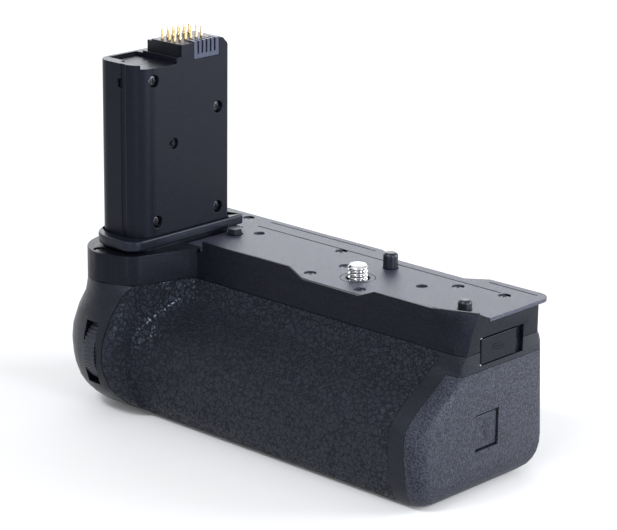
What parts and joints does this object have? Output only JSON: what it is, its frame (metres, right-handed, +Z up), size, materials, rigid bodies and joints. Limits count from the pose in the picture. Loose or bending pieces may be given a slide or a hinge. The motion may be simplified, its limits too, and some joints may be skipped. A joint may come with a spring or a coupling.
{
  "type": "camera battery grip",
  "caption": "Vertical camera grip with a battery-shaped column, attachment screw and wheel, command dials, shutter controls, connector door and a sliding battery tray.",
  "frame": {"origin": "axis of the attachment screw, at the deck that meets the camera's base", "axes": "+X along the grip to the battery door, -Y to the hand-grip front, +Z up along the attachment screw"},
  "size_m": [0.1529, 0.0707, 0.1216],
  "materials": {
    "casing_plastic": "finely textured black plastic",
    "deck_plastic": "finely textured dark plastic, satin where light grazes it",
    "grip_rubber": "black leather-grain rubber",
    "column_plastic": "smooth satin black plastic",
    "collar_plastic": "smooth satin soft-touch plastic",
    "block_plastic": "black connector plastic",
    "comb_plastic": "grey-blue plastic",
    "dial_rubber": "ribbed black rubber",
    "button_plastic": "smooth black plastic",
    "chrome": "polished",
    "steel": "brushed",
    "black_steel": "black oxide",
    "gold": "gold plated",
    "gear_brass": "machined",
    "board_green": "solder mask",
    "cable_amber": "flexible film",
    "chamber_plastic": "moulded, plain",
    "pack_plastic": "satin grey"
  },
  "bodies": {
    "grip": {"top_frame": "casing_plastic", "lower_shell": "casing_plastic", "rear_cover": "casing_plastic", "deck_plate": "deck_plastic", "locating_pin_tall": "deck_plastic", "locating_pin_short": "deck_plastic", "front_rubber": "grip_rubber", "thumb_rubber": "grip_rubber", "column_body": "column_plastic", "column_cover": "column_plastic", "column_collar": "collar_plastic", "connector_block": "block_plastic", "contact_comb": "comb_plastic", "screw_bushing": "steel", "gear_bracket": "steel", "wheel_axle": "steel", "catch_plate": "steel", "usb_receptacle": "steel", "tripod_socket": "steel", "sub_dial_axle": "steel", "main_dial_axle": "steel", "usb_door_pin": "steel", "column_screws": "black_steel", "deck_screws": "black_steel", "index_stud": "black_steel", "base_screws": "black_steel", "rear_screws": "black_steel", "connector_pins": "gold", "chamber_contacts": "gold", "column_board": "board_green", "control_board": "board_green", "usb_board": "board_green", "ribbon_cable": "cable_amber", "battery_chamber": "chamber_plastic"},
    "attachment_wheel": {"attachment_wheel": "dial_rubber"},
    "attachment_screw": {"attachment_screw": "chrome", "screw_gear": "gear_brass"},
    "sub_command_dial": {"sub_command_dial": "dial_rubber"},
    "main_command_dial": {"main_command_dial": "dial_rubber"},
    "shutter_button": {"shutter_button": "button_plastic"},
    "lock_lever": {"lock_lever": "button_plastic"},
    "af_button": {"af_button": "button_plastic"},
    "info_button": {"info_button": "button_plastic"},
    "iso_button": {"iso_button": "button_plastic"},
    "exposure_button": {"exposure_button": "button_plastic"},
    "stick_yoke": {"stick_yoke": "steel"},
    "pointer_stick": {"pointer_stick": "grip_rubber"},
    "usb_door": {"usb_door": "casing_plastic"},
    "tray": {"tray_frame": "chamber_plastic", "tray_door": "casing_plastic", "tray_contacts": "gold", "tray_screws": "steel", "battery_pack_inner": "pack_plastic", "battery_pack_outer": "pack_plastic"},
    "latch_button": {"tray_latch_button": "button_plastic"},
    "latch_hook": {"tray_latch_hook": "steel"}
  },
  "joints": [
    {"name": "wheel_turn", "type": "hinge", "parent": "grip", "child": "attachment_wheel", "pos_m": [0.013, 0.0132, -0.006], "axis": [0, 0, 1], "continuous": true},
    {"name": "screw_turn", "type": "hinge", "parent": "grip", "child": "attachment_screw", "pos_m": [0, 0, 0], "axis": [0, 0, 1], "continuous": true},
    {"name": "sub_dial_turn", "type": "hinge", "parent": "grip", "child": "sub_command_dial", "pos_m": [-0.076, -0.0317, -0.0328], "axis": [1, 0, 0], "continuous": true},
    {"name": "main_dial_turn", "type": "hinge", "parent": "grip", "child": "main_command_dial", "pos_m": [-0.0785, 0.0166, -0.024], "axis": [1, 0, 0], "continuous": true},
    {"name": "shutter_press", "type": "slide", "parent": "grip", "child": "shutter_button", "axis": [1, 0, 0], "range_m": [0, 0.001], "stiffness_N_per_m": 400, "springref_m": -0.0005},
    {"name": "lock_lever_turn", "type": "hinge", "parent": "grip", "child": "lock_lever", "pos_m": [-0.0975, -0.011, -0.0315], "axis": [1, 0, 0], "range_deg": [0, 40]},
    {"name": "af_press", "type": "slide", "parent": "grip", "child": "af_button", "axis": [0, -1, 0], "range_m": [0, 0.0005], "stiffness_N_per_m": 400, "springref_m": -0.0005},
    {"name": "info_press", "type": "slide", "parent": "grip", "child": "info_button", "axis": [0, -1, 0], "range_m": [0, 0.0005], "stiffness_N_per_m": 400, "springref_m": -0.0005},
    {"name": "iso_press", "type": "slide", "parent": "grip", "child": "iso_button", "axis": [1, 0, 0], "range_m": [0, 0.0005], "stiffness_N_per_m": 400, "springref_m": -0.0005},
    {"name": "exposure_press", "type": "slide", "parent": "grip", "child": "exposure_button", "axis": [1, 0, 0], "range_m": [0, 0.0005], "stiffness_N_per_m": 400, "springref_m": -0.0005},
    {"name": "stick_pitch", "type": "hinge", "parent": "grip", "child": "stick_yoke", "pos_m": [-0.065, 0.0225, -0.034], "axis": [1, 0, 0], "range_deg": [-10, 10], "stiffness_Nm_per_rad": 0.02},
    {"name": "stick_yaw", "type": "hinge", "parent": "stick_yoke", "child": "pointer_stick", "pos_m": [-0.065, 0.0225, -0.034], "axis": [0, 0, 1], "range_deg": [-10, 10], "stiffness_Nm_per_rad": 0.02},
    {"name": "usb_door_turn", "type": "hinge", "parent": "grip", "child": "usb_door", "pos_m": [0.05292, -0.00537, -0.00965], "axis": [0, 0, -1], "range_deg": [0, 90]},
    {"name": "tray_slide", "type": "slide", "parent": "grip", "child": "tray", "axis": [1, 0, 0], "range_m": [0, 0.112]},
    {"name": "latch_press", "type": "slide", "parent": "tray", "child": "latch_button", "axis": [-1, 0, 0], "range_m": [0, 0.0012], "stiffness_N_per_m": 400, "springref_m": -0.0006},
    {"name": "hook_release", "type": "slide", "parent": "tray", "child": "latch_hook", "axis": [0, 0, -1], "range_m": [0, 0.0012]}
  ],
  "couplings": [
    {"joint": "screw_turn", "follows": "wheel_turn", "ratio": -0.7},
    {"joint": "hook_release", "follows": "latch_press", "ratio": 1}
  ]
}
